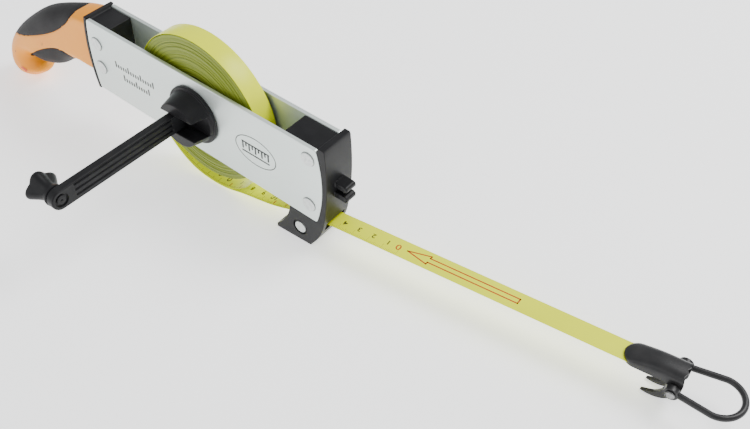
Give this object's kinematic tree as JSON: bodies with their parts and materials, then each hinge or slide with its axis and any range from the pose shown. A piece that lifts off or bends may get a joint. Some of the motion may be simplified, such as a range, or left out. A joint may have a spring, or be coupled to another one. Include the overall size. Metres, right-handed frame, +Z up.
{
  "type": "open reel measuring tape",
  "caption": "Open-frame long measuring tape: steel tape coil between two side plates, pistol handle, folding winding crank, guide roller, end hood with ring and folding claw.",
  "frame": {"origin": "middle of the foot's flat sole, on the surface the tool stands on", "axes": "+X forward along the tool towards the tape's free end, +Z up, +Y to the tool's left; the crank is on -Y"},
  "size_m": [0.5511, 0.153, 0.1095],
  "materials": {
    "plates": "satin anodised",
    "rivets": "satin",
    "steel": "bright",
    "black_plastic": "fine moulded texture",
    "black_pin": "moulded",
    "white_plastic": "moulded",
    "orange_plastic": "moulded",
    "soft_grip": "soft matt",
    "tape": "satin yellow lacquer on steel",
    "hook_paint": "satin black"
  },
  "bodies": {
    "frame": {"side_plate_right": "plates", "side_plate_left": "plates", "nose_block": "black_plastic", "tail_block": "black_plastic", "rear_rivets": "rivets", "front_rivets": "rivets", "guide_roller_pin": "rivets", "handle_half_right": "orange_plastic", "handle_half_left": "orange_plastic", "back_grip_pad": "soft_grip", "finger_grip_pad": "soft_grip", "handle_screws": "steel", "spindle_bush_right": "white_plastic", "spindle_bush_left": "white_plastic", "tape_lead": "tape", "tape_run": "tape"},
    "reel": {"reel_core": "black_plastic", "tape_anchor_pin": "steel", "tape_coil": "tape", "reel_spindle": "steel", "spindle_cap": "black_plastic", "crank_hub": "black_plastic", "hub_screw": "steel", "crank_pivot_pin": "steel"},
    "crank": {"crank_arm": "black_plastic", "knob_pin": "black_pin"},
    "knob": {"crank_knob": "black_plastic"},
    "roller": {"guide_roller": "white_plastic"},
    "tape_end": {"hook_hood": "hook_paint", "tape_tip": "tape", "tip_rivets": "rivets", "hook_axle": "rivets"},
    "ring": {"hook_bail": "hook_paint"},
    "claw": {"hook_claw": "hook_paint"}
  },
  "joints": [
    {"name": "reel_spin", "type": "hinge", "parent": "frame", "child": "reel", "pos_m": [-0.0732, 0, 0.0592], "axis": [0, 1, 0], "range_deg": [0, 200]},
    {"name": "crank_fold", "type": "hinge", "parent": "reel", "child": "crank", "pos_m": [-0.0776, -0.0196, 0.0592], "axis": [0, 0, 1], "range_deg": [-80, 90.8]},
    {"name": "knob_spin", "type": "hinge", "parent": "crank", "child": "knob", "pos_m": [-0.07883, -0.10799, 0.0592], "axis": [-0.9999, 0.014, 0], "continuous": true},
    {"name": "roller_spin", "type": "hinge", "parent": "frame", "child": "roller", "pos_m": [0.00612, 0, 0.01075], "axis": [0, 1, 0], "continuous": true},
    {"name": "tape_slide", "type": "slide", "parent": "frame", "child": "tape_end", "axis": [0.9962, 0.0872, 0], "range_m": [-0.1765, 0], "deforming": ["tape_run"]},
    {"name": "bail_swing", "type": "hinge", "parent": "tape_end", "child": "ring", "pos_m": [0.23317, 0.01921, 0.016], "axis": [0.0872, -0.9962, 0], "range_deg": [-90, 110]},
    {"name": "claw_fold", "type": "hinge", "parent": "tape_end", "child": "claw", "pos_m": [0.23317, 0.01921, 0.016], "axis": [-0.0872, 0.9962, 0], "range_deg": [-45, 35]}
  ],
  "couplings": [
    {"joint": "tape_slide", "follows": "reel_spin", "m_per_rad": -0.0505}
  ]
}
